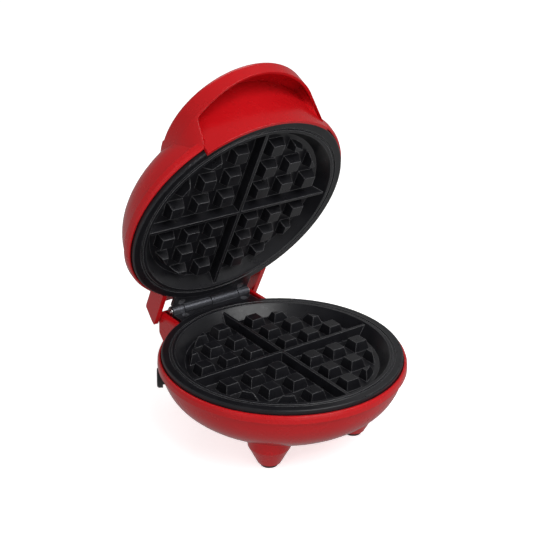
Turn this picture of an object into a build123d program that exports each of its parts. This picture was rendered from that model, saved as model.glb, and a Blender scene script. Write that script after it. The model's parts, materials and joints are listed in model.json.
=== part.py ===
from build123d import *
import os
from math import atan2, cos, degrees, hypot, radians, sin

# ---------------------------------------------------------------------------------------------
# Round Belgian waffle maker, millimetres.
# Working frame: origin on the table under the middle of the lower plate, +Z up, front (handle)
# at -Y, hinge at +Y, X along the hinge pin.  The lid is modelled shut, in the lid frame whose
# z = 0 is the rim face of the upper plate, and is then turned about the pin to its rest angle.
# Row frame: the same axes, with the origin moved back under the middle of the open appliance.
# ---------------------------------------------------------------------------------------------

# Heights and motion
RIM_Z = 72.0  # rim face of the lower plate above the table
PLATE_GAP = 1.0  # between the two rim faces when the lid is shut
LID_Z = RIM_Z + PLATE_GAP
REST_ANGLE = 64.0  # lid opening at rest
HINGE_Y = 110.0
HINGE_Z = RIM_Z + PLATE_GAP / 2
ROW_Y = 16.1  # the row's origin in the working frame

# Grid plates, measured from the rim face (z = 0) down to the back
PLATE_R = 100.0
RIM_CORNER_R = 1.2
GROOVE_R_IN, GROOVE_R_OUT, GROOVE_DEPTH = 91.9, 93.0, 1.0
BEAD_HEIGHT = 0.3
CAVITY_TOP_R, CAVITY_FLOOR_R, CAVITY_DEPTH = 87.6, 80.6, 9.8
SKIRT_DEPTH, SKIRT_WALL = 4.4, 2.6
PLATE_WALL = 3.0
RIDGE_TOP_HALF, RIDGE_BASE_HALF, RIDGE_DROP = 1.3, 2.5, 1.35
STUD_PITCH, STUD_FIRST = 23.9, 17.65
STUD_TIP, STUD_BASE, STUD_DROP = 10.8, 15.3, 1.6
STUD_CLIP_R, STUD_CLIP_FLARE = 74.6, 2.2  # the studs are cut back to this circle at their tips
BOSS_RADIUS, BOSS_BORE = 4.2, 1.65
BOSS_R, BOSS_LENGTH = 68.0, 7.2  # bosses for the reflector
MOUNT_BOSS_R, MOUNT_BOSS_LENGTH = 60.0, 13.0  # bosses for the base's screws
MOUNT_ANGLES = (-90.0, 30.0, 150.0)

# Hinge leaf, knuckles and pin
KNUCKLE_R = 5.0
PIN_R, PIN_HALF = 2.0, 42.2
PIN_FIT, PIN_RUNNING = 0.02, 0.06  # radial clearance in the lower and in the upper knuckles
LONG_KNUCKLE, SHORT_KNUCKLE = (0.3, 28.2), (-40.0, -28.8)  # spans along X
LEAF_TOP, LEAF_THICK, LEAF_HALF, LEAF_END = -0.6, 2.8, 40.0, 104.3
LEAF_SCREW_X, LEAF_SCREW_Y = 31.0, 100.6
CLIP_R, CLIP_THICK, CLIP_GAP = 3.9, 0.8, 0.4

# Shells
WALL = 2.6
SHELL_EDGE, SHELL_EDGE_R = 3.8, 100.6  # where a shell's edge stops short of the rim face
BAND_DEPTH = 10.1  # the bulging band round each shell's edge
BAND_R, BAND_STEP_R = 103.4, 102.2
BOWL_CURVE = ((44.7, 60.0), (54.8, 56.6), (69.8, 49.4), (84.6, 40.0), (93.7, 30.6), (98.6, 21.2),
              (101.4, 11.0))  # radius and distance from the rim face
DOME_CURVE = ((20.0, 52.8), (40.0, 51.8), (58.8, 49.4), (77.6, 44.0), (88.6, 37.0), (94.6, 30.0),
              (98.8, 21.2), (101.4, 11.0))
TAIL_HALF, TAIL_END, TAIL_TOP = 48.8, 120.0, 71.4
TAIL_UNDERSIDE = ((TAIL_END, 56.0), (110.0, 46.5), (85.0, 38.0), (60.0, 30.0))
POCKET_HALF, POCKET_END, POCKET_FLOOR = 43.6, 116.4, 58.0
LID_TAIL_IN, LID_TAIL_OUT, LID_TAIL_END = 49.6, 54.2, 122.6
LID_TAIL_ROOF, LID_TAIL_FOOT = 20.5, 0.3
LID_TAIL_SKIN = 3.0

# Legs: front pair under the bowl, rear pair under the hinge so that the open lid can't tip it
LEG_X, LEG_FRONT_Y, LEG_REAR_Y = 43.3, -43.3, 80.0
LEG_PROFILE = ((7.4, 1.6), (9.8, 3.2), (17.6, 18.5), (20.0, 33.0))  # radius and height
LEG_CORE = ((8.2, 7.4), (14.4, 18.8), (16.0, 24.0))
REAR_LEG_PROFILE = ((7.4, 1.6), (9.8, 3.2), (15.4, 18.5), (16.4, 52.0))
REAR_LEG_CORE = ((8.2, 7.4), (12.4, 18.8), (13.2, 31.0))
FOOT_R, FOOT_STEM_R, FOOT_STEM_TOP = 7.2, 2.9, 6.0
TOWER_R, TOWER_BORE, TOWER_CAP = 6.6, 4.2, 3.0

# Handle: round sections from under the lip to the roof, as (height, centre y, radius)
HANDLE_SECTIONS = ((4.7, -47.0, 69.6), (26.0, -60.0, 67.3), (42.0, -60.0, 67.3), (49.3, -60.0, 47.0),
                   (51.1, -30.0, 22.0))
HANDLE_BROW_ROUND, HANDLE_FRONT_Y, HANDLE_ROOT_Y = 4.0, -60.5, -40.0
SCOOP_FOOT_HALF, SCOOP_HEAD_HALF = 58.4, 55.4
SCOOP_FOOT, SCOOP_SHOULDER, SCOOP_CROWN, SCOOP_ROUND = -8.0, 27.3, 35.2, 5.0
SCOOP_START, SCOOP_REACH, SCOOP_FALL = 70.0, 65.0, 0.1  # its arch falls towards the lip
RECESS_TOP, RECESS_ROUND = 60.0, 2.5
GRIP_R_IN, GRIP_R_OUT, GRIP_FOOT, GRIP_WALL = 100.7, 103.2, -2.8, 2.2

# Heating elements, reflectors and electrics
ELEMENT_R, ELEMENT_TUBE_R, ELEMENT_START, ELEMENT_ARC = 49.0, 3.3, 120.0, 300.0
ELEMENT_PIN_Z = -36.0
REFLECTOR_R, REFLECTOR_THICK, REFLECTOR_RIM = 76.0, 0.8, 5.0
THERMOSTAT_R, THERMOSTAT_H = 9.0, 9.0
FUSE_R, FUSE_LENGTH = 3.0, 22.0
BLOCK_SIZE = (26.0, 14.0, 12.0)
BLOCK_PLACE = (0.0, -6.0)
LEAD_R, LEAD_BEND = 1.3, 2.6

# Indicator lights on the lid
LENS_X, LENS_Y, LENS_R, LENS_FLANGE_R, LENS_TOP = 9.0, -20.0, 3.6, 5.0, 53.8
LENS_FLANGE_Z, LENS_FLANGE_THICK = 47.6, 1.6
LAMP_R, LAMP_H = 2.4, 10.0
BOARD_Z, BOARD_SIZE, BOARD_POST_X, BOARD_POST_R = 34.0, (44.0, 14.0, 1.6), 18.0, 2.6

# Screws
SCREW_R, SCREW_HEAD_R, SCREW_HEAD_H = 1.6, 3.1, 1.8
FIT = 0.15  # clearance between neighbouring fixed pieces
CORD_HOLE_R, GLAND_R, GLAND_FLANGE_R = 3.7, 6.0, 8.6
GLAND_ANGLE, GLAND_Z, GLAND_OUT = 149.0, 48.5, 104.0

PLATE_BACK = -CAVITY_DEPTH - PLATE_WALL
ELEMENT_Z = PLATE_BACK - ELEMENT_TUBE_R - 0.05
REFLECTOR_Z = PLATE_BACK - BOSS_LENGTH  # the reflector's face on the bosses
UP = (Align.CENTER, Align.CENTER, Align.MIN)
DOWN = (Align.CENTER, Align.CENTER, Align.MAX)

SHUT = Pos(0, 0, LID_Z)
OPENED = Pos(0, HINGE_Y, HINGE_Z) * Rot(-REST_ANGLE, 0, 0) * Pos(0, -HINGE_Y, -HINGE_Z) * SHUT
TURNED = Rot(0, 180, 0)  # a piece of the upper plate is the lower one turned over about Y
BASE = Pos(0, 0, RIM_Z)  # pieces of the lower plate are modelled from the rim face


def polar(radius, angle):
    """Point on a circle about the plate's axis, with the angle in degrees from +X."""
    return radius * cos(radians(angle)), radius * sin(radians(angle))


def inset(points, amount):
    """An outline of (radius, depth) points moved in by amount, square to the outline."""
    moved = []
    for i, (r, d) in enumerate(points):
        r0, d0 = points[max(i - 1, 0)]
        r1, d1 = points[min(i + 1, len(points) - 1)]
        length = hypot(r1 - r0, d1 - d0)
        moved.append((r - amount * (d0 - d1) / length, d - amount * (r1 - r0) / length))
    return moved


def write(piece, name, place=Location()):
    """Labels a finished piece, puts it in its place and writes its STEP file."""
    piece.part.label = name
    piece.part.move(Pos(0, -ROW_Y, 0) * place)
    export_step(piece.part, f"parts/{name}.step")


os.makedirs("parts", exist_ok=True)


# ---------------------------------------------------------------------------------------------
# Grid plates: two like castings, each with one long and one short hinge knuckle, so that one
# turned over meshes with the other
# ---------------------------------------------------------------------------------------------
def grid_plate(bore_r):
    with BuildPart() as pan:
        with BuildSketch(Plane.XZ):
            with BuildLine():
                Polyline(
                    (0, -CAVITY_DEPTH),
                    (CAVITY_FLOOR_R, -CAVITY_DEPTH),
                    (CAVITY_TOP_R, BEAD_HEIGHT - 1.2),
                    (CAVITY_TOP_R + 1.2, BEAD_HEIGHT),
                    (GROOVE_R_IN - 0.6, BEAD_HEIGHT),
                    (GROOVE_R_IN, -GROOVE_DEPTH),
                    (GROOVE_R_OUT, -GROOVE_DEPTH),
                    (GROOVE_R_OUT + 0.5, 0),
                    (PLATE_R, 0),
                    (PLATE_R, -SKIRT_DEPTH),
                    (PLATE_R - SKIRT_WALL, -SKIRT_DEPTH),
                    (PLATE_R - SKIRT_WALL, -PLATE_WALL),
                    (CAVITY_TOP_R + PLATE_WALL, -PLATE_WALL),
                    (CAVITY_FLOOR_R + PLATE_WALL, PLATE_BACK),
                    (0, PLATE_BACK),
                    close=True,
                )
            make_face()
        revolve(axis=Axis.Z)
        rim_edge = pan.edges().filter_by(GeomType.CIRCLE).filter_by_position(Axis.Z, -0.01, 0.01)
        fillet(rim_edge.sort_by(SortBy.RADIUS)[-1], RIM_CORNER_R)

    # Cross ridges, which part the waffle into quarters
    with BuildPart() as ridges:
        for plane in (Plane.XZ, Plane.YZ):
            with BuildSketch(plane):
                with BuildLine():
                    Polyline(
                        (-RIDGE_BASE_HALF, -CAVITY_DEPTH - 1),
                        (-RIDGE_BASE_HALF, -CAVITY_DEPTH),
                        (-RIDGE_TOP_HALF, -RIDGE_DROP),
                        (RIDGE_TOP_HALF, -RIDGE_DROP),
                        (RIDGE_BASE_HALF, -CAVITY_DEPTH),
                        (RIDGE_BASE_HALF, -CAVITY_DEPTH - 1),
                        close=True,
                    )
                make_face()
            extrude(amount=CAVITY_TOP_R, both=True)
        with BuildSketch(Plane.XY.offset(-CAVITY_DEPTH - 1)):
            Circle(CAVITY_FLOOR_R)
        extrude(amount=CAVITY_DEPTH + 1, taper=-degrees(atan2(CAVITY_TOP_R - CAVITY_FLOOR_R, CAVITY_DEPTH)),
                mode=Mode.INTERSECT)

    # Square tapered studs, eight to a quarter, cut back together to a round outline
    stud_height = CAVITY_DEPTH - STUD_DROP
    rows = [STUD_FIRST + i * STUD_PITCH for i in range(3)]
    places = [(sx * x, sy * y) for x in rows for y in rows if x + y < 2 * rows[2]
              for sx in (-1, 1) for sy in (-1, 1)]
    with BuildPart() as studs:
        with BuildSketch(Plane.XY.offset(-CAVITY_DEPTH)):
            with Locations(*places):
                Rectangle(STUD_BASE, STUD_BASE)
        extrude(amount=stud_height, taper=degrees(atan2((STUD_BASE - STUD_TIP) / 2, stud_height)))
        with Locations((0, 0, -CAVITY_DEPTH)):
            Cone(STUD_CLIP_R + STUD_CLIP_FLARE, STUD_CLIP_R, stud_height, align=UP, mode=Mode.INTERSECT)

    with BuildPart() as plate:
        add(pan.part)
        add(ridges.part)
        add(studs.part)
        # Bosses on the back, for the reflector and for the shell
        with Locations((0, 0, PLATE_BACK + 1)):
            with PolarLocations(BOSS_R, 4, start_angle=45):
                Cylinder(BOSS_RADIUS, BOSS_LENGTH + 1, align=DOWN)
        with Locations(*[(*polar(MOUNT_BOSS_R, a), PLATE_BACK + 1) for a in MOUNT_ANGLES]):
            Cylinder(BOSS_RADIUS, MOUNT_BOSS_LENGTH + 1, align=DOWN)
        # Hinge leaf, the knuckles and the webs that carry them
        with BuildSketch(Plane.XY.offset(LEAF_TOP - LEAF_THICK)):
            with Locations((0, LEAF_END)):
                Rectangle(2 * LEAF_HALF, LEAF_END - PLATE_R + 20, align=(Align.CENTER, Align.MAX))
            Circle(PLATE_R - SKIRT_WALL / 2, mode=Mode.SUBTRACT)
            for x0, x1 in (LONG_KNUCKLE, SHORT_KNUCKLE):
                with Locations(((x0 + x1) / 2, HINGE_Y)):
                    Rectangle(x1 - x0, HINGE_Y - LEAF_END + 1, align=(Align.CENTER, Align.MAX))
        extrude(amount=LEAF_THICK)
        for x0, x1 in (LONG_KNUCKLE, SHORT_KNUCKLE):
            with Locations(((x0 + x1) / 2, HINGE_Y, PLATE_GAP / 2)):
                Cylinder(KNUCKLE_R, x1 - x0, rotation=(0, 90, 0))
        # Bores
        with Locations((0, HINGE_Y, PLATE_GAP / 2)):
            Cylinder(bore_r, 3 * LEAF_HALF, rotation=(0, 90, 0), mode=Mode.SUBTRACT)
        with Locations(*[(s * LEAF_SCREW_X, LEAF_SCREW_Y, LEAF_TOP) for s in (-1, 1)]):
            CounterSinkHole(SCREW_R + FIT, SCREW_HEAD_R + FIT, depth=LEAF_THICK)
        with Locations((0, 0, REFLECTOR_Z)):
            with PolarLocations(BOSS_R, 4, start_angle=45):
                Cylinder(BOSS_BORE, BOSS_LENGTH, align=UP, mode=Mode.SUBTRACT)
        with Locations(*[(*polar(MOUNT_BOSS_R, a), PLATE_BACK - MOUNT_BOSS_LENGTH) for a in MOUNT_ANGLES]):
            Cylinder(BOSS_BORE, MOUNT_BOSS_LENGTH, align=UP, mode=Mode.SUBTRACT)
    return plate


write(grid_plate(PIN_R + PIN_FIT), "lower_plate", BASE)
write(grid_plate(PIN_R + PIN_RUNNING), "upper_plate", OPENED * TURNED)


# ---------------------------------------------------------------------------------------------
# Shells: the same edge band on the bowl and on the dome
# ---------------------------------------------------------------------------------------------
def cup(curve, sign, rim_z, core=False):
    """Solid of revolution inside a shell's outer face, or inside its inner face for the core.

    Depths grow away from the rim face: sign is -1 for the bowl below it, 1 for the dome above.
    """
    wall = inset(curve, WALL) if core else list(curve)
    if core:
        edge = [(SHELL_EDGE_R, wall[-1][1] - 1.5), (SHELL_EDGE_R, -1.0)]
    else:
        edge = [(BAND_STEP_R, BAND_DEPTH + 0.5), (BAND_R, BAND_DEPTH), (BAND_R - 0.2, SHELL_EDGE + 2.4),
                (BAND_R - 1.0, SHELL_EDGE + 0.4), (BAND_R - 1.8, SHELL_EDGE)]
    with BuildPart() as solid:
        with BuildSketch(Plane.XZ):
            with BuildLine():
                points = [(r, rim_z + sign * d) for r, d in wall]
                side = Spline(*points, tangents=((1, 0), (0.25, -sign)))
                outline = [points[-1]] + [(r, rim_z + sign * d) for r, d in edge]
                Polyline(*outline, (0, outline[-1][1]), (0, points[0][1]), points[0])
            make_face()
        revolve(axis=Axis.Z)
    return solid.part


def leg_solid(profile, x, y):
    with BuildPart() as leg:
        with BuildSketch(Plane.XZ):
            with BuildLine():
                Polyline((0, profile[0][1]), *profile, (0, profile[-1][1]), close=True)
            make_face()
        revolve(axis=Axis.Z)
    return leg.part.moved(Pos(x, y, 0))


gland_x, gland_y = polar(1, GLAND_ANGLE)
gland_plane = Plane(origin=(0, 0, GLAND_Z), z_dir=(gland_x, gland_y, 0))
leaf_screws = [(s * LEAF_SCREW_X, LEAF_SCREW_Y) for s in (-1, 1)]
front_feet = [(s * LEG_X, LEG_FRONT_Y) for s in (-1, 1)]
rear_feet = [(s * (LEG_X - 3), LEG_REAR_Y) for s in (-1, 1)]
feet = front_feet + rear_feet
tower_top = RIM_Z + PLATE_BACK - MOUNT_BOSS_LENGTH - 0.1
tower_places = [polar(MOUNT_BOSS_R, a) for a in MOUNT_ANGLES]

with BuildPart() as base_shell:
    # Tail that carries the hinge
    with BuildSketch(Plane.YZ):
        with BuildLine():
            Polyline((TAIL_UNDERSIDE[-1][0], TAIL_TOP), (TAIL_END, TAIL_TOP), *TAIL_UNDERSIDE, close=True)
        make_face()
    extrude(amount=TAIL_HALF, both=True)
    fillet(base_shell.edges().filter_by(Axis.Z).sort_by(Axis.Y)[-2:], 5)
    fillet(base_shell.faces().sort_by(Axis.Z)[-1].edges().sort_by(Axis.Y)[1:], 3.2)
    add(cup(BOWL_CURVE, -1, RIM_Z))
    for x, y in front_feet:
        add(leg_solid(LEG_PROFILE, x, y))
    for x, y in rear_feet:
        add(leg_solid(REAR_LEG_PROFILE, x, y))
    add(cup(BOWL_CURVE, -1, RIM_Z, core=True), mode=Mode.SUBTRACT)
    for x, y in front_feet:
        add(leg_solid(LEG_CORE, x, y), mode=Mode.SUBTRACT)
    for x, y in rear_feet:
        add(leg_solid(REAR_LEG_CORE, x, y), mode=Mode.SUBTRACT)
    # Pocket for the knuckles behind the bowl, with bosses for the leaf's screws
    with BuildSketch(Plane.XY.offset(POCKET_FLOOR)):
        with Locations((0, POCKET_END)):
            Rectangle(2 * POCKET_HALF, POCKET_END - 90, align=(Align.CENTER, Align.MAX))
        Circle(BAND_R - 0.4, mode=Mode.SUBTRACT)
    extrude(amount=RIM_Z - POCKET_FLOOR, mode=Mode.SUBTRACT)
    with BuildSketch(Plane.XY.offset(RIM_Z - SHELL_EDGE)):
        with Locations((0, POCKET_END)):
            Rectangle(2 * POCKET_HALF, POCKET_END - 60, align=(Align.CENTER, Align.MAX))
    extrude(amount=SHELL_EDGE, mode=Mode.SUBTRACT)
    with BuildSketch(Plane.XY.offset(POCKET_FLOOR)):
        with Locations(*leaf_screws):
            Circle(4)
    extrude(amount=RIM_Z + LEAF_TOP - LEAF_THICK - FIT - POCKET_FLOOR)
    # Screw towers that stand on the bowl's floor, open underneath
    with BuildPart(mode=Mode.PRIVATE) as towers:
        with Locations(*tower_places):
            Cylinder(TOWER_R, tower_top, align=UP)
        add(cup(BOWL_CURVE, -1, RIM_Z), mode=Mode.INTERSECT)
    add(towers.part)
    with Locations(*tower_places):
        Cylinder(TOWER_BORE, tower_top - TOWER_CAP, align=UP, mode=Mode.SUBTRACT)
        Cylinder(SCREW_R + FIT, tower_top + 1, align=UP, mode=Mode.SUBTRACT)
    # Holes for the leaf's screws, the rubber feet and the cord gland
    with Locations(*[(x, y, RIM_Z) for x, y in leaf_screws]):
        Cylinder(SCREW_R + 0.02, 13, align=DOWN, mode=Mode.SUBTRACT)
    with Locations(*[(x, y, 0) for x, y in feet]):
        Cylinder(FOOT_STEM_R + FIT, FOOT_STEM_TOP + FIT, align=UP, mode=Mode.SUBTRACT)
    with BuildSketch(gland_plane.offset(80)):
        Circle(GLAND_R + FIT)
    extrude(amount=40, mode=Mode.SUBTRACT)
write(base_shell, "base_shell")

with BuildPart() as foot_pads:
    with Locations(*[(x, y, 0) for x, y in feet]):
        Cylinder(FOOT_R, LEG_PROFILE[0][1] - 0.02, align=UP)
        Cylinder(FOOT_STEM_R, FOOT_STEM_TOP, align=UP)
write(foot_pads, "foot_pads")

with BuildPart() as cord_gland:
    with BuildSketch(gland_plane.offset(88)):
        Circle(GLAND_R)
    extrude(amount=GLAND_OUT - 88)
    # Outer flange against the bowl, with a rounded nose
    with BuildSketch(gland_plane.offset(GLAND_OUT - 5)):
        Circle(GLAND_FLANGE_R)
    extrude(amount=5)
    fillet(cord_gland.faces().sort_by(Axis((0, 0, 0), (gland_x, gland_y, 0)))[-1].edges(), 2)
    add(cup(BOWL_CURVE, -1, RIM_Z), mode=Mode.SUBTRACT)
    with BuildSketch(gland_plane.offset(88)):
        Circle(GLAND_R)
    extrude(amount=GLAND_OUT - 90)
    with BuildSketch(gland_plane.offset(80)):
        Circle(CORD_HOLE_R)
    extrude(amount=40, mode=Mode.SUBTRACT)
write(cord_gland, "cord_gland")


def handle_block(shrink=0.0):
    """Front part of the handle, a loft through its round sections; the core is shrunk all round."""
    with BuildPart() as block:
        for z, y, r in HANDLE_SECTIONS:
            drop = shrink if z > HANDLE_SECTIONS[1][0] else 0
            with BuildSketch(Plane.XY.offset(z - drop)):
                with Locations((0, y)):
                    Circle(r - shrink)
        loft(ruled=True)
    with BuildPart() as front:
        add(block.part)
        with BuildSketch():
            with Locations((0, HANDLE_FRONT_Y)):
                Rectangle(4 * PLATE_R, 2 * PLATE_R, align=(Align.CENTER, Align.MAX))
        extrude(amount=PLATE_R, mode=Mode.INTERSECT)
        if not shrink:
            brow_z = HANDLE_SECTIONS[2][0]
            brow = front.edges().filter_by_position(Axis.Z, brow_z - 0.01, brow_z + 0.01)
            fillet(brow.sort_by(Axis.Y)[0], HANDLE_BROW_ROUND)
    with BuildPart() as handle:
        add(block.part)
        with BuildSketch():
            with Locations((0, HANDLE_ROOT_Y)):
                Rectangle(4 * PLATE_R, HANDLE_ROOT_Y - HANDLE_FRONT_Y, align=(Align.CENTER, Align.MAX))
        extrude(amount=PLATE_R, mode=Mode.INTERSECT)
        add(front.part)
    return handle.part


def scoop():
    """Prism of the opening under the handle's lip, seen from the front."""
    with BuildPart() as prism:
        with BuildSketch(Plane.XZ.offset(SCOOP_START)):
            with BuildLine():
                Line((-SCOOP_HEAD_HALF, SCOOP_SHOULDER), (-SCOOP_FOOT_HALF, SCOOP_FOOT))
                Line((-SCOOP_FOOT_HALF, SCOOP_FOOT), (SCOOP_FOOT_HALF, SCOOP_FOOT))
                Line((SCOOP_FOOT_HALF, SCOOP_FOOT), (SCOOP_HEAD_HALF, SCOOP_SHOULDER))
                ThreePointArc((SCOOP_HEAD_HALF, SCOOP_SHOULDER), (0, SCOOP_CROWN),
                              (-SCOOP_HEAD_HALF, SCOOP_SHOULDER))
            face = make_face()
            fillet(face.vertices().group_by(Axis.Y)[-1], SCOOP_ROUND)
        extrude(amount=SCOOP_REACH, dir=(0, -1, -SCOOP_FALL))
    return prism.part


def recess(grow=0.0):
    """Prism of the room behind the lip: its sides carry on the opening's, up past the roof."""
    lean = (SCOOP_FOOT_HALF - SCOOP_HEAD_HALF) / (SCOOP_SHOULDER - SCOOP_FOOT)
    top_half = SCOOP_HEAD_HALF - lean * (RECESS_TOP - SCOOP_SHOULDER)
    with BuildPart() as prism:
        with BuildSketch(Plane.XZ.offset(SCOOP_START)):
            with BuildLine():
                Polyline((-SCOOP_FOOT_HALF, SCOOP_FOOT), (SCOOP_FOOT_HALF, SCOOP_FOOT), (top_half, RECESS_TOP),
                         (-top_half, RECESS_TOP), close=True)
            make_face()
            if grow:
                offset(amount=grow)
        extrude(amount=SCOOP_REACH)
    return prism.part


def ring_solid(r_in, r_out, z0, z1):
    with BuildPart() as ring:
        with BuildSketch(Plane.XY.offset(z0)):
            Circle(r_out)
            if r_in:
                Circle(r_in, mode=Mode.SUBTRACT)
        extrude(amount=z1 - z0)
    return ring.part


with BuildPart() as lid_shell:
    # Tail: two ears that straddle the base's tail, and the roof between them
    with BuildSketch(Plane.YZ):
        with BuildLine():
            Polyline((60, LID_TAIL_FOOT), (LID_TAIL_END, LID_TAIL_FOOT), (LID_TAIL_END - 0.4, 4),
                     (115.8, LID_TAIL_ROOF), (60, LID_TAIL_ROOF), close=True)
        make_face()
    extrude(amount=LID_TAIL_OUT, both=True)
    fillet(lid_shell.faces().sort_by(Axis.Z)[-1].edges().sort_by(Axis.Y)[1:], 4)
    with BuildSketch(Plane.XY.offset(LID_TAIL_FOOT)):
        Rectangle(2 * LID_TAIL_IN, 4 * LID_TAIL_END)
    extrude(amount=LID_TAIL_ROOF - LID_TAIL_SKIN - LID_TAIL_FOOT, mode=Mode.SUBTRACT)
    add(cup(DOME_CURVE, 1, 0))
    add(handle_block())
    add(cup(DOME_CURVE, 1, 0, core=True), mode=Mode.SUBTRACT)
    add(handle_block(WALL - 0.2), mode=Mode.SUBTRACT)
    with BuildPart(mode=Mode.PRIVATE) as window:
        add(scoop())
        add(ring_solid(0, GRIP_R_IN - 0.3, SCOOP_FOOT, SCOOP_CROWN + 20), mode=Mode.SUBTRACT)
    add(window.part, mode=Mode.SUBTRACT)
    # Bosses for the leaf's screws and posts for the lamp board
    with Locations(*[(x, y, -LEAF_TOP + LEAF_THICK + FIT) for x, y in leaf_screws]):
        Cylinder(4, LID_TAIL_ROOF - LID_TAIL_SKIN - 2, align=UP)
        Cylinder(SCREW_R + 0.02, 11, align=UP, mode=Mode.SUBTRACT)
    with Locations(*[(s * BOARD_POST_X, LENS_Y, BOARD_Z + BOARD_SIZE[2]) for s in (-1, 1)]):
        Cylinder(BOARD_POST_R, DOME_CURVE[0][1] - BOARD_Z - BOARD_SIZE[2] - 1.5, align=UP)
    with Locations(*[(s * LENS_X, LENS_Y, BOARD_Z + 4) for s in (-1, 1)]):
        Cylinder(LENS_R + FIT, 30, align=UP, mode=Mode.SUBTRACT)
        Cylinder(LENS_FLANGE_R + FIT, LENS_FLANGE_Z + LENS_FLANGE_THICK + FIT - BOARD_Z - 4, align=UP,
                 mode=Mode.SUBTRACT)
write(lid_shell, "lid_shell", OPENED)

# Grip: the wall and two sides that line the finger recess, closed above by the shell's roof
with BuildPart() as handle_grip:
    add(recess(GRIP_WALL))
    add(handle_block(WALL + FIT - 0.2), mode=Mode.INTERSECT)
    add(ring_solid(GRIP_R_IN, 2 * PLATE_R, GRIP_FOOT, RECESS_TOP), mode=Mode.INTERSECT)
    with BuildPart(mode=Mode.PRIVATE) as back_wall:
        add(recess(-FIT))
        add(ring_solid(GRIP_R_IN, GRIP_R_OUT, GRIP_FOOT, SCOOP_SHOULDER), mode=Mode.INTERSECT)
    add(back_wall.part)
    with BuildPart(mode=Mode.PRIVATE) as finger_room:
        add(recess())
        add(ring_solid(0, GRIP_R_OUT, 2 * SCOOP_FOOT, 2 * RECESS_TOP), mode=Mode.SUBTRACT)
        wall_face = finger_room.faces().filter_by(GeomType.CYLINDER).sort_by(Axis.Y)[-1]
        fillet(wall_face.edges().sort_by(Axis.X)[0::3], RECESS_ROUND)
    add(finger_room.part, mode=Mode.SUBTRACT)
write(handle_grip, "handle_grip", OPENED)

# ---------------------------------------------------------------------------------------------
# Hinge pin with its clips
# ---------------------------------------------------------------------------------------------
with BuildPart() as hinge_pin:
    with Locations((0, HINGE_Y, HINGE_Z)):
        Cylinder(PIN_R, 2 * PIN_HALF, rotation=(0, 90, 0))
    chamfer(hinge_pin.edges(), 0.4)
write(hinge_pin, "hinge_pin")

with BuildPart() as pin_clips:
    for side in (-1, 1):
        with BuildSketch(Plane.YZ.offset(side * (LEAF_HALF + CLIP_GAP + CLIP_THICK / 2))):
            with Locations((HINGE_Y, HINGE_Z)):
                Circle(CLIP_R)
                Circle(PIN_R + PIN_FIT, mode=Mode.SUBTRACT)
        extrude(amount=CLIP_THICK / 2, both=True)
write(pin_clips, "pin_clips")


# ---------------------------------------------------------------------------------------------
# Heat and light: each is modelled under the lower plate; the upper ones are turned over
# ---------------------------------------------------------------------------------------------
element_ends = [ELEMENT_START, ELEMENT_START + ELEMENT_ARC]


def heating_element():
    with BuildPart() as element:
        with BuildSketch(Plane.XZ.rotated((0, 0, ELEMENT_START))):
            with Locations((ELEMENT_R, ELEMENT_Z)):
                Circle(ELEMENT_TUBE_R)
        revolve(axis=Axis.Z, revolution_arc=ELEMENT_ARC)
        with Locations(*[(*polar(ELEMENT_R, a), ELEMENT_Z) for a in element_ends]):
            Sphere(ELEMENT_TUBE_R)
            Cylinder(ELEMENT_TUBE_R - 0.3, ELEMENT_Z - ELEMENT_PIN_Z - 6, align=DOWN)
            Cylinder(1.2, ELEMENT_Z - ELEMENT_PIN_Z, align=DOWN)
    return element


def reflector():
    with BuildPart() as dish:
        with Locations((0, 0, REFLECTOR_Z)):
            Cylinder(REFLECTOR_R, REFLECTOR_THICK, align=DOWN)
        add(ring_solid(REFLECTOR_R - REFLECTOR_THICK, REFLECTOR_R, REFLECTOR_Z - REFLECTOR_THICK,
                       REFLECTOR_Z + REFLECTOR_RIM))
        with Locations(*[(*polar(MOUNT_BOSS_R, a), REFLECTOR_Z) for a in MOUNT_ANGLES]):
            Cylinder(BOSS_RADIUS + 0.6, 4, mode=Mode.SUBTRACT)
        with Locations(*[(*polar(ELEMENT_R, a), REFLECTOR_Z) for a in element_ends]):
            Cylinder(ELEMENT_TUBE_R + 1, 4, mode=Mode.SUBTRACT)
        with Locations((0, 0, REFLECTOR_Z)):
            with PolarLocations(BOSS_R, 4, start_angle=45):
                Cylinder(SCREW_R + FIT, 4, mode=Mode.SUBTRACT)
    return dish


def pan_screws(places, seat_z, length):
    """Pan-head screws driven upwards, their heads under seat_z."""
    with BuildPart() as screws:
        with Locations(*[(x, y, seat_z) for x, y in places]):
            Cylinder(SCREW_HEAD_R, SCREW_HEAD_H, align=DOWN)
            Cylinder(SCREW_R, length, align=UP)
    return screws


def leaf_screw_pair():
    """Countersunk screws driven down through the hinge leaf, seen in the lower plate's frame."""
    with BuildPart() as screws:
        with Locations(*[(x, y, LEAF_TOP - 0.05) for x, y in leaf_screws]):
            Cylinder(SCREW_R, 11.5, align=DOWN)
        with BuildSketch(Plane.XY.offset(LEAF_TOP - 0.05)):
            with Locations(*leaf_screws):
                Circle(SCREW_HEAD_R)
        extrude(amount=-(SCREW_HEAD_R - SCREW_R), taper=45)
    return screws


reflector_seats = [polar(BOSS_R, a) for a in (45, 135, 225, 315)]
reflector_seat_z = REFLECTOR_Z - REFLECTOR_THICK - 0.02
for side, place in (("lower", BASE), ("upper", OPENED * TURNED)):
    write(heating_element(), f"{side}_heating_element", place)
    write(reflector(), f"{side}_reflector", place)
    write(pan_screws(reflector_seats, reflector_seat_z, 7.4), f"{side}_reflector_screws", place)
    write(leaf_screw_pair(), f"{side}_leaf_screws", place)
write(pan_screws(tower_places, tower_top - TOWER_CAP - 0.02, 14), "base_screws")

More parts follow.
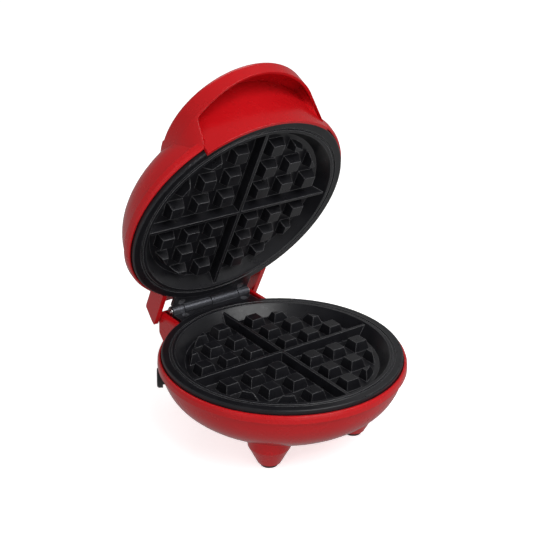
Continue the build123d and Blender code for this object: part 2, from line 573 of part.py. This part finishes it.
device_z = REFLECTOR_Z - REFLECTOR_THICK - 0.05
with BuildPart() as thermostat:
    with Locations((0, 24, device_z)):
        Cylinder(THERMOSTAT_R, THERMOSTAT_H, align=DOWN)
        Cylinder(THERMOSTAT_R + 2, 1.2, align=DOWN)
    with Locations(*[(s * 4, 24, device_z - THERMOSTAT_H) for s in (-1, 1)]):
        Box(0.8, 5, 6, align=DOWN)
write(thermostat, "thermostat", BASE)

for side, place in (("lower", BASE), ("upper", OPENED * TURNED)):
    with BuildPart() as fuse:
        with Locations((-26, 0, device_z - FUSE_R)):
            Cylinder(FUSE_R, FUSE_LENGTH, rotation=(90, 0, 0))
            Cylinder(1.0, FUSE_LENGTH + 10, rotation=(90, 0, 0))
    write(fuse, f"{side}_thermal_fuse", place)

floor_z = RIM_Z - BOWL_CURVE[0][1] + WALL
with BuildPart() as terminal_block:
    with Locations((*BLOCK_PLACE, floor_z + 0.05)):
        Box(*BLOCK_SIZE, align=UP)
    fillet(terminal_block.edges().filter_by(Axis.Z), 1.5)
    with Locations(*[(BLOCK_PLACE[0] + s * 8, BLOCK_PLACE[1], floor_z + BLOCK_SIZE[2]) for s in (-1, 0, 1)]):
        Cylinder(2.4, 6, mode=Mode.SUBTRACT)
write(terminal_block, "terminal_block")


def leads(routes):
    """Insulated leads, each a run with rounded corners through its points."""
    with BuildPart() as wiring:
        for route in routes:
            with BuildLine() as path:
                FilletPolyline(*route, radius=LEAD_BEND)
            with BuildSketch(Plane(origin=path.line @ 0, z_dir=path.line % 0)):
                Circle(LEAD_R)
            sweep(path=path.line)
    return wiring


pin_x, pin_y = polar(ELEMENT_R, ELEMENT_START)
block_top = floor_z + BLOCK_SIZE[2] + 0.2
pin_end = RIM_Z + ELEMENT_PIN_Z - 0.1
write(leads([[(s * 8, BLOCK_PLACE[1], block_top), (s * 8, BLOCK_PLACE[1], block_top + 5),
              (-s * pin_x, pin_y, pin_end - 9), (-s * pin_x, pin_y, pin_end)] for s in (-1, 1)]),
      "lower_wiring")
board_face = -BOARD_Z - BOARD_SIZE[2] - 0.1
write(leads([[(-s * pin_x, pin_y, ELEMENT_PIN_Z - 0.1), (-s * pin_x, pin_y, board_face - 6),
              (s * (BOARD_POST_X - 4.2), LENS_Y, board_face - 6), (s * (BOARD_POST_X - 4.2), LENS_Y, board_face)]
             for s in (-1, 1)]), "upper_wiring", OPENED * TURNED)

# Indicator lights: board, two neon lamps and their lenses
with BuildPart() as lamp_board:
    with Locations((0, LENS_Y, BOARD_Z - 0.05)):
        Box(*BOARD_SIZE, align=UP)
write(lamp_board, "lamp_board", OPENED)

with BuildPart() as neon_lamps:
    with Locations(*[(s * LENS_X, LENS_Y, BOARD_Z + BOARD_SIZE[2]) for s in (-1, 1)]):
        Cylinder(LAMP_R, LAMP_H, align=UP)
    fillet(neon_lamps.edges().group_by(Axis.Z)[-1], 1.6)
write(neon_lamps, "neon_lamps", OPENED)

for name, side in (("power_lens", -1), ("ready_lens", 1)):
    with BuildPart() as lens:
        with Locations((side * LENS_X, LENS_Y, LENS_FLANGE_Z)):
            Cylinder(LENS_FLANGE_R, LENS_FLANGE_THICK, align=UP)
            Cylinder(LENS_R, LENS_TOP - LENS_FLANGE_Z, align=UP)
        fillet(lens.edges().group_by(Axis.Z)[-1], 1.2)
    write(lens, name, OPENED)
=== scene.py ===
import json
import math

import bpy
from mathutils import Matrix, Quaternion, Vector


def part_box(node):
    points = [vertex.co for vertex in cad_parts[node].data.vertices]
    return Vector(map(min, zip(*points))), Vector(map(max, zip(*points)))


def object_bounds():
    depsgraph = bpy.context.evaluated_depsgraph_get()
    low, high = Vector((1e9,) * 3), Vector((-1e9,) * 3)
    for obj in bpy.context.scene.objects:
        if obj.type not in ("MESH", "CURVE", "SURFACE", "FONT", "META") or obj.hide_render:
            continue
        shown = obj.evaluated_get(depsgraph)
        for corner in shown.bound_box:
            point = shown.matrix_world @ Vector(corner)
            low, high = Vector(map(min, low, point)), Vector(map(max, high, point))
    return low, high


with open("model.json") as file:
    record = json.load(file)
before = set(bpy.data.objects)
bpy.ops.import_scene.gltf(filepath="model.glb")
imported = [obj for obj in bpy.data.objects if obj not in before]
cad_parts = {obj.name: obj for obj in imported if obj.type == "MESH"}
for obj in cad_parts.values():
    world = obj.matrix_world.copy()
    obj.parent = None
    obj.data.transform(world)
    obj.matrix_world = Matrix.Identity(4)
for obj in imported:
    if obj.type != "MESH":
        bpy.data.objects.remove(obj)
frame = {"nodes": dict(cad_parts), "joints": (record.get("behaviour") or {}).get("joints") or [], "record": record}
cad_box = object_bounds()

# ---------------------------------------------------------------------------------------------
# Camera: in front and to the left, aimed just above and behind the lower plate's middle
# ---------------------------------------------------------------------------------------------
VIEW_AZIMUTH, VIEW_ELEVATION, VIEW_ROLL = -35.97, 23.93, 0.918
VIEW_DISTANCE = 1.0414
VIEW_AIM = Vector((0.0048, 0.0309, 0.0629))  # from the middle of the lower plate's rim
LENS_MM, SENSOR_MM = 85.0, 36.0
CLIP_NEAR, CLIP_FAR = 0.01, 100
HINGE = Vector(frame["joints"][0]["pos_m"])


def plate_middle():
    """Middle of the lower plate's rim face: the box runs from the rim's front to the knuckles."""
    low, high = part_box("lower_plate")
    radius = (high.x - low.x) / 2
    return Vector((0, low.y + radius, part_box("base_shell")[1].z))


def stand_back(name, data, target, azimuth, elevation, distance):
    """An object that looks at the target from that side, both angles in degrees."""
    made = bpy.data.objects.new(name, data)
    bpy.context.scene.collection.objects.link(made)
    a, e = math.radians(azimuth), math.radians(elevation)
    back = Vector((math.sin(a) * math.cos(e), -math.cos(a) * math.cos(e), math.sin(e)))
    made.location = target + back * distance
    made.rotation_mode = "QUATERNION"
    made.rotation_quaternion = (-back).to_track_quat("-Z", "Y")
    return made


def aim_camera():
    data = bpy.data.cameras.new("camera")
    data.lens, data.sensor_width = LENS_MM, SENSOR_MM
    data.clip_start, data.clip_end = CLIP_NEAR, CLIP_FAR
    target = plate_middle() + VIEW_AIM
    camera = stand_back("camera", data, target, VIEW_AZIMUTH, VIEW_ELEVATION, VIEW_DISTANCE)
    camera.rotation_quaternion = camera.rotation_quaternion @ Quaternion((0, 0, 1), math.radians(VIEW_ROLL))
    bpy.context.scene.camera = camera


# ---------------------------------------------------------------------------------------------
# Stage and lights
# ---------------------------------------------------------------------------------------------
SKY_BELOW, SKY_ABOVE = 0.36, 0.22  # brightness of the room below and above the horizon
HORIZON_BLEND = 0.3  # how far above and below the horizon the brightness changes
FLOOR_SIZE, FLOOR_GLOW = 12.0, 0.7
LIGHTS = (  # name, azimuth, elevation, distance, width, height, power, whether it shows as a highlight
    ("key", 10, 50, 1.6, 1.3, 1.0, 17, True),
    ("fill", -75, 20, 1.8, 1.0, 1.2, 6, False),
    ("low", -5, 4, 1.8, 1.6, 0.8, 9, False),
    ("back", 165, 50, 1.7, 1.2, 0.7, 5, True),
)


def softbox(name, azimuth, elevation, distance, width, height, power, shows):
    """A large area light aimed at the middle of the object."""
    data = bpy.data.lights.new(name, "AREA")
    data.shape, data.size, data.size_y, data.energy = "RECTANGLE", width, height, power
    light = stand_back(name, data, (cad_box[0] + cad_box[1]) / 2, azimuth, elevation, distance)
    light.visible_glossy = shows


def room():
    """A white backdrop that lights the object like a dim room over a bright table."""
    world = bpy.data.worlds.new("studio")
    world.use_nodes = True
    nodes, links = world.node_tree.nodes, world.node_tree.links
    place = nodes.new("ShaderNodeTexCoord").outputs["Generated"]
    split = nodes.new("ShaderNodeSeparateXYZ")
    links.new(place, split.inputs[0])
    height = nodes.new("ShaderNodeMapRange")
    height.inputs["From Min"].default_value = -HORIZON_BLEND
    height.inputs["From Max"].default_value = HORIZON_BLEND
    height.inputs["To Min"].default_value, height.inputs["To Max"].default_value = SKY_BELOW, SKY_ABOVE
    links.new(split.outputs["Z"], height.inputs["Value"])
    lighting, backdrop = nodes["Background"], nodes.new("ShaderNodeBackground")
    lighting.inputs["Color"].default_value = backdrop.inputs["Color"].default_value = (1, 1, 1, 1)
    links.new(height.outputs["Result"], lighting.inputs["Strength"])
    seen = nodes.new("ShaderNodeMixShader")
    links.new(nodes.new("ShaderNodeLightPath").outputs["Is Camera Ray"], seen.inputs[0])
    links.new(lighting.outputs[0], seen.inputs[1])
    links.new(backdrop.outputs[0], seen.inputs[2])
    links.new(seen.outputs[0], nodes["World Output"].inputs["Surface"])
    return world


def studio():
    scene = bpy.context.scene
    scene.view_settings.view_transform = "Standard"
    scene.world = room()
    mesh = bpy.data.meshes.new("floor")
    half, level = FLOOR_SIZE / 2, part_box("foot_pads")[0].z
    corners = [(-half, -half, level), (half, -half, level), (half, half, level), (-half, half, level)]
    mesh.from_pydata(corners, [], [(0, 1, 2, 3)])
    floor = bpy.data.objects.new("floor", mesh)
    scene.collection.objects.link(floor)
    floor.visible_diffuse = floor.visible_glossy = False
    paint = Paint("floor_paper")
    paint.set(Roughness=0.9, Specular_IOR_Level=0.0, Emission_Strength=FLOOR_GLOW)
    paint.shader.inputs["Emission Color"].default_value = (1, 1, 1, 1)
    paint.colour(paint.mottle(2, 0.0, 1.0), (0.88, 0.88, 0.88), (0.9, 0.9, 0.9))
    mesh.materials.append(paint.material)
    for light in LIGHTS:
        softbox(*light)


# ---------------------------------------------------------------------------------------------
# Materials
# ---------------------------------------------------------------------------------------------
NOISE_SPAN = (0.3, 0.7)  # where most of a noise texture's values lie
MOULDED_ROUND, ROUNDING_SAMPLES = 0.0007, 8  # radius that moulding or casting leaves on sharp edges
EDGE_SAMPLES, EDGE_COSINE = 4, 0.86  # at an edge the bevelled normal leans this far from the flat one
KNUCKLE_ZONE, KNUCKLE_FADE = 0.0054, 0.0004  # radius of the knuckles, with a little to spare
FINE_GRAIN = 2600  # scale of orange peel's and speckle's finest noise
STRAND_TURN = 0.785  # an eighth of a turn, either way


class Paint:
    """A procedural material: nodes are added by type, and every pattern is in object space."""

    def __init__(self, name):
        self.material = bpy.data.materials.new(name)
        self.material.use_nodes = True
        self.nodes, self.links = self.material.node_tree.nodes, self.material.node_tree.links
        self.shader = self.nodes["Principled BSDF"]
        self.place = self.node("ShaderNodeTexCoord").outputs["Object"]

    def feed(self, socket, value):
        """Links the value to the socket if it is another socket, and sets it otherwise."""
        if isinstance(value, bpy.types.NodeSocket):
            self.links.new(value, socket)
        else:
            socket.default_value = value

    def node(self, kind, **inputs):
        made = self.nodes.new(kind)
        for key, value in inputs.items():
            self.feed(made.inputs[key.replace("_", " ")], value)
        return made

    def set(self, **inputs):
        for key, value in inputs.items():
            self.shader.inputs[key.replace("_", " ")].default_value = value

    def noise(self, scale, detail=3.0, place=None):
        made = self.node("ShaderNodeTexNoise", Vector=place or self.place, Scale=scale, Detail=detail)
        return made.outputs["Fac"]

    def ramp(self, value, low, high, to_low=0.0, to_high=1.0):
        made = self.node("ShaderNodeMapRange", Value=value)
        made.inputs["From Min"].default_value, made.inputs["From Max"].default_value = low, high
        made.inputs["To Min"].default_value, made.inputs["To Max"].default_value = to_low, to_high
        return made.outputs["Result"]

    def mottle(self, scale, to_low, to_high, detail=3.0):
        """Noise of that scale, spread over its usual span."""
        return self.ramp(self.noise(scale, detail), *NOISE_SPAN, to_low, to_high)

    def mix(self, factor, low, high):
        made = self.nodes.new("ShaderNodeMix")
        made.data_type = "RGBA"
        self.links.new(factor, made.inputs[0])
        for socket, value in ((made.inputs[6], low), (made.inputs[7], high)):
            self.feed(socket, (*value, 1) if isinstance(value, tuple) else value)
        return made.outputs[2]

    def math(self, operation, a, b=0.0):
        made = self.nodes.new("ShaderNodeMath")
        made.operation = operation
        for socket, value in zip(made.inputs, (a, b)):
            self.feed(socket, value)
        return made.outputs[0]

    def colour(self, factor, low, high):
        self.links.new(self.mix(factor, low, high), self.shader.inputs["Base Color"])

    def rough(self, value):
        self.links.new(value, self.shader.inputs["Roughness"])

    def edges(self, radius):
        """1 on edges and corners tighter than that radius, 0 on open faces."""
        bevel = self.node("ShaderNodeBevel", Radius=radius)
        bevel.samples = EDGE_SAMPLES
        flat = self.node("ShaderNodeNewGeometry").outputs["Normal"]
        dot = self.nodes.new("ShaderNodeVectorMath")
        dot.operation = "DOT_PRODUCT"
        self.links.new(bevel.outputs[0], dot.inputs[0])
        self.links.new(flat, dot.inputs[1])
        return self.ramp(dot.outputs["Value"], 1.0, EDGE_COSINE)

    def bump(self, height, distance, strength=1.0, rounding=0.0):
        """Surface relief; rounding is the radius that casting or moulding leaves on sharp edges."""
        made = self.node("ShaderNodeBump", Height=height, Distance=distance, Strength=strength)
        if rounding:
            rounded = self.node("ShaderNodeBevel", Radius=rounding)
            rounded.samples = ROUNDING_SAMPLES
            self.links.new(rounded.outputs[0], made.inputs["Normal"])
        self.links.new(made.outputs[0], self.shader.inputs["Normal"])


def glossy_red(name, deep, bright):
    """Moulded ABS: a slow drift of tone, orange peel, and a roughness that isn't quite even."""
    paint = Paint(name)
    drift = paint.mottle(14, 0.0, 1.0, 2)
    body = paint.mix(drift, deep, bright)
    # Lighter colour along sharp edges: a painted highlight where the edges catch the light, with a little edge
    # wear as well.
    wear_and_highlight = paint.math("MULTIPLY", paint.edges(0.0009), 0.35)
    paint.colour(wear_and_highlight, body, tuple(min(1.0, v * 1.35 + 0.02) for v in bright))
    paint.rough(paint.mottle(85, 0.2, 0.3, 6))
    paint.set(Specular_IOR_Level=0.4, Coat_Weight=0.12, Coat_Roughness=0.1, IOR=1.5)
    peel = paint.math("ADD", paint.noise(420, 2), paint.math("MULTIPLY", paint.noise(FINE_GRAIN, 2), 0.35))
    paint.bump(peel, 0.00005, 0.4, MOULDED_ROUND)
    return paint.material


def nonstick(name):
    """Sprayed non-stick coat on cast aluminium: dark, finely speckled, with a painted highlight
    that makes its edges paler; the hinge's knuckles are barer, smoother and more metallic."""
    paint = Paint(name)
    speckle = paint.ramp(paint.noise(FINE_GRAIN, 2), 0.6, 0.72)
    coat = paint.mix(paint.mottle(60, 0.0, 1.0), (0.0075, 0.0075, 0.0095), (0.0115, 0.0115, 0.014))
    flecked = paint.mix(paint.math("MULTIPLY", speckle, 0.35), coat, (0.05, 0.05, 0.055))
    # Pale grey along the edges: a painted highlight where studs and ridges catch the light.
    edge_highlighted = paint.mix(paint.math("MULTIPLY", paint.edges(0.0006), 0.8), flecked, (0.2, 0.2, 0.21))
    split = paint.node("ShaderNodeSeparateXYZ", Vector=paint.place).outputs
    across = paint.math("SUBTRACT", split["Y"], HINGE.y)
    above = paint.math("SUBTRACT", split["Z"], HINGE.z)
    away = paint.math("SQRT", paint.math("ADD", paint.math("MULTIPLY", across, across),
                                         paint.math("MULTIPLY", above, above)))
    knuckle = paint.ramp(away, KNUCKLE_ZONE, KNUCKLE_ZONE - KNUCKLE_FADE)
    bare = paint.mix(paint.mottle(500, 0.0, 1.0), (0.085, 0.088, 0.1), (0.12, 0.123, 0.14))
    paint.colour(knuckle, edge_highlighted, bare)
    paint.links.new(paint.math("MULTIPLY", knuckle, 0.75), paint.shader.inputs["Metallic"])
    paint.rough(paint.mottle(240, 0.27, 0.36, 5))
    paint.set(IOR=1.5, Specular_IOR_Level=0.42)
    grain = paint.math("ADD", paint.noise(1500, 3), paint.math("MULTIPLY", paint.noise(260, 2), 0.6))
    paint.bump(grain, 0.00004, 0.5, MOULDED_ROUND)
    return paint.material


def dull(name, low, high, roughness, grain=900, depth=0.00008, metallic=0.0, streak=None):
    """Plain surface with a mottled colour and a fine grain; streak stretches the grain along axes."""
    paint = Paint(name)
    place = paint.place
    if streak:
        place = paint.node("ShaderNodeMapping", Vector=paint.place, Scale=streak).outputs[0]
    paint.colour(paint.ramp(paint.noise(grain / 12, 4, place), *NOISE_SPAN), low, high)
    paint.rough(paint.ramp(paint.noise(grain / 3, 3, place), *NOISE_SPAN, roughness - 0.06, roughness + 0.06))
    paint.set(Metallic=metallic)
    paint.bump(paint.noise(grain, 3, place), depth, 0.7)
    return paint.material


def woven(name, low, high):
    """Braided glass sleeve: two crossing sets of strands."""
    paint = Paint(name)
    strands = []
    for turn in (STRAND_TURN, -STRAND_TURN):
        place = paint.node("ShaderNodeMapping", Vector=paint.place, Rotation=(turn, turn, 0)).outputs[0]
        wave = paint.node("ShaderNodeTexWave", Vector=place, Scale=380)
        strands.append(wave.outputs["Fac"])
    braid = paint.math("MULTIPLY", *strands)
    paint.colour(braid, low, high)
    paint.rough(paint.ramp(braid, 0, 1, 0.9, 0.75))
    paint.bump(braid, 0.0002, 0.8)
    return paint.material


def clear(name, tint, haze, see_through, rings=0):
    """Clear or tinted moulding with faint moulded rings and haze."""
    paint = Paint(name)
    paint.colour(paint.mottle(120, 0.0, 1.0), tint, tuple(v * 0.9 for v in tint))
    paint.rough(paint.mottle(300, haze, haze + 0.08))
    paint.set(Transmission_Weight=see_through, IOR=1.49)
    if rings:
        wave = paint.node("ShaderNodeTexWave", Vector=paint.place, Scale=rings)
        paint.bump(wave.outputs["Fac"], 0.0001, 0.5)
    else:
        paint.bump(paint.noise(500, 2), 0.00003, 0.5)
    return paint.material


PAINTS = {  # by slot: what makes the material, then what it takes after the slot's own name
    "red_plastic": (glossy_red, (0.55, 0.005, 0.008), (0.6, 0.007, 0.011)),
    "grip_plastic": (glossy_red, (0.54, 0.005, 0.008), (0.59, 0.007, 0.011)),
    "nonstick": (nonstick,),
    "rubber": (dull, (0.012, 0.012, 0.013), (0.025, 0.025, 0.026), 0.7, 1400),
    "black_plastic": (dull, (0.012, 0.012, 0.013), (0.022, 0.022, 0.024), 0.42, 1800),
    "steel": (dull, (0.5, 0.5, 0.51), (0.62, 0.62, 0.63), 0.3, 1600, 0.00003, 1.0, (1, 9, 9)),
    "element_steel": (dull, (0.16, 0.15, 0.16), (0.34, 0.29, 0.25), 0.45, 700, 0.00005, 0.9),
    "reflector_aluminium": (dull, (0.68, 0.68, 0.69), (0.8, 0.8, 0.81), 0.34, 1500, 0.00003, 1.0, (1, 12, 1)),
    "ceramic": (dull, (0.72, 0.69, 0.62), (0.82, 0.79, 0.73), 0.6, 1200),
    "fuse_metal": (dull, (0.6, 0.6, 0.6), (0.74, 0.74, 0.75), 0.35, 1500, 0.00003, 1.0, (9, 1, 9)),
    "wire_sleeve": (woven, (0.42, 0.4, 0.35), (0.86, 0.84, 0.78)),
    "board": (dull, (0.2, 0.12, 0.05), (0.32, 0.2, 0.09), 0.55, 1000, 0.00004, 0.0, (8, 1, 1)),
    "lamp_glass": (clear, (0.95, 0.86, 0.76), 0.02, 0.9),
    "red_lens": (clear, (0.62, 0.03, 0.02), 0.1, 0.35, 260),
    "green_lens": (clear, (0.06, 0.42, 0.1), 0.1, 0.35, 260),
}


def paint_frame():
    """Every CAD node takes the material of its slot in the record."""
    made = {slot: build(slot, *look) for slot, (build, *look) in PAINTS.items()}
    for part in frame["record"]["subparts"]:
        node = frame["nodes"][part["node"]]
        node.data.materials.clear()
        node.data.materials.append(made[part["material_slot"]])


aim_camera()
studio()
paint_frame()
